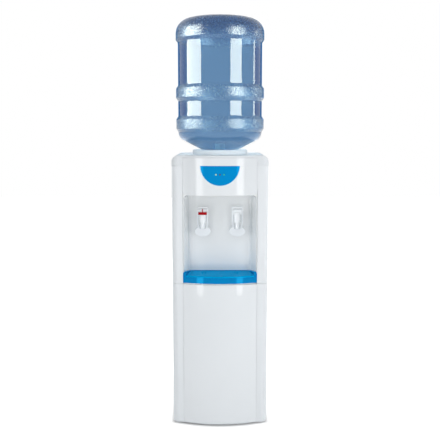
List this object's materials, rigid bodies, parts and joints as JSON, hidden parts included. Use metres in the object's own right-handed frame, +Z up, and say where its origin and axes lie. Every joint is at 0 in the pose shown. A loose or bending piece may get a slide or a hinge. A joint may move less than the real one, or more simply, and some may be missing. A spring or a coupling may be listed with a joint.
{
  "type": "water cooler",
  "caption": "Floor-standing bottled-water cooler with an inverted blue bottle, a niche with hot and cold push taps, a blue drip tray and a rear condenser.",
  "frame": {"origin": "on the floor under the bottle's axis, at the middle of the footprint", "axes": "+Z up along the bottle's axis, -Y towards the front, -X towards the hot tap"},
  "size_m": [0.29, 0.304, 1.241],
  "materials": {
    "white_plastic": "gloss",
    "blue_plastic": "gloss",
    "window_blue": "gloss",
    "bottle_blue": "gloss",
    "cap_blue": "matt",
    "red_plastic": "gloss",
    "green_plastic": "gloss",
    "light_white": "gloss",
    "light_red": "gloss",
    "light_green": "gloss",
    "black_plastic": "matt",
    "rubber": "matt",
    "silicone": "satin",
    "grey_sheet": "satin",
    "steel": "brushed",
    "black_metal": "satin",
    "copper": "satin",
    "foam": "matt",
    "board_green": "matt"
  },
  "bodies": {
    "cabinet": {"base_pan": "white_plastic", "lower_right_panel": "white_plastic", "lower_left_panel": "white_plastic", "upper_right_panel": "white_plastic", "upper_left_panel": "white_plastic", "lower_front_panel": "white_plastic", "upper_fascia": "white_plastic", "niche": "white_plastic", "top_cover": "white_plastic", "bottle_collar": "white_plastic", "hot_tap_body": "white_plastic", "cold_tap_body": "white_plastic", "tap_nuts": "white_plastic", "feed_spike": "white_plastic", "cold_tank_lid": "white_plastic", "drain_fittings": "white_plastic", "indicator_window": "window_blue", "cap_plug": "cap_blue", "power_light": "light_white", "heating_light": "light_red", "cooling_light": "light_green", "power_inlet": "black_plastic", "switch_housings": "black_plastic", "start_relay": "black_plastic", "rubber_feet": "rubber", "compressor_grommets": "rubber", "cold_hose": "silicone", "hot_hose": "silicone", "feed_hose": "silicone", "cold_drain_hose": "silicone", "hot_drain_hose": "silicone", "rear_panel": "grey_sheet", "upper_shelf": "grey_sheet", "lower_shelf": "grey_sheet", "cold_tank": "steel", "hot_tank": "steel", "band_heater": "steel", "lever_pins": "steel", "rear_screws": "steel", "compressor": "black_metal", "condenser_tube": "black_metal", "condenser_wires": "black_metal", "condenser_standoffs": "black_metal", "evaporator_coil": "copper", "cold_tank_insulation": "foam", "hot_tank_pad": "foam", "control_board": "board_green"},
    "bottle": {"bottle": "bottle_blue", "bottle_cap": "cap_blue"},
    "drip_tray": {"drip_tray": "blue_plastic"},
    "drip_grate": {"drip_grate": "blue_plastic"},
    "hot_lever": {"hot_tap_lever": "white_plastic"},
    "cold_lever": {"cold_tap_lever": "white_plastic"},
    "hot_valve": {"hot_valve_plug": "silicone"},
    "cold_valve": {"cold_valve_plug": "silicone"},
    "hot_lock": {"hot_safety_lock": "red_plastic"},
    "hot_rocker": {"hot_switch": "red_plastic"},
    "cold_rocker": {"cold_switch": "green_plastic"},
    "hot_drain": {"hot_drain_cap": "white_plastic"},
    "cold_drain": {"cold_drain_cap": "white_plastic"}
  },
  "joints": [
    {"name": "bottle_lift", "type": "slide", "parent": "cabinet", "child": "bottle", "axis": [0, 0, 1], "range_m": [0, 0.12]},
    {"name": "tray_pull", "type": "slide", "parent": "cabinet", "child": "drip_tray", "axis": [0, -1, 0], "range_m": [0, 0.115]},
    {"name": "grate_lift", "type": "slide", "parent": "drip_tray", "child": "drip_grate", "axis": [0, 0, 1], "range_m": [0, 0.04]},
    {"name": "hot_lever_push", "type": "hinge", "parent": "cabinet", "child": "hot_lever", "pos_m": [-0.053, -0.088, 0.662], "axis": [1, 0, 0], "range_deg": [0, 14], "stiffness_Nm_per_rad": 0.3},
    {"name": "cold_lever_push", "type": "hinge", "parent": "cabinet", "child": "cold_lever", "pos_m": [0.053, -0.088, 0.662], "axis": [1, 0, 0], "range_deg": [0, 14], "stiffness_Nm_per_rad": 0.3},
    {"name": "hot_valve_lift", "type": "slide", "parent": "cabinet", "child": "hot_valve", "axis": [0, 0, 1], "range_m": [0, 0.003]},
    {"name": "cold_valve_lift", "type": "slide", "parent": "cabinet", "child": "cold_valve", "axis": [0, 0, 1], "range_m": [0, 0.003]},
    {"name": "hot_lock_slide", "type": "slide", "parent": "cabinet", "child": "hot_lock", "axis": [0, 0, 1], "range_m": [0, 0.004], "stiffness_N_per_m": 150},
    {"name": "hot_switch_rock", "type": "hinge", "parent": "cabinet", "child": "hot_rocker", "pos_m": [0.062, 0.127, 0.69], "axis": [1, 0, 0], "range_deg": [-16, 0]},
    {"name": "cold_switch_rock", "type": "hinge", "parent": "cabinet", "child": "cold_rocker", "pos_m": [0.092, 0.127, 0.69], "axis": [1, 0, 0], "range_deg": [-16, 0]},
    {"name": "hot_drain_unscrew", "type": "slide", "parent": "cabinet", "child": "hot_drain", "axis": [0, 1, 0], "range_m": [0, 0.025]},
    {"name": "cold_drain_unscrew", "type": "slide", "parent": "cabinet", "child": "cold_drain", "axis": [0, 1, 0], "range_m": [0, 0.025]}
  ],
  "couplings": [
    {"joint": "hot_valve_lift", "follows": "hot_lever_push", "m_per_rad": 0.0122},
    {"joint": "cold_valve_lift", "follows": "cold_lever_push", "m_per_rad": 0.0122}
  ]
}
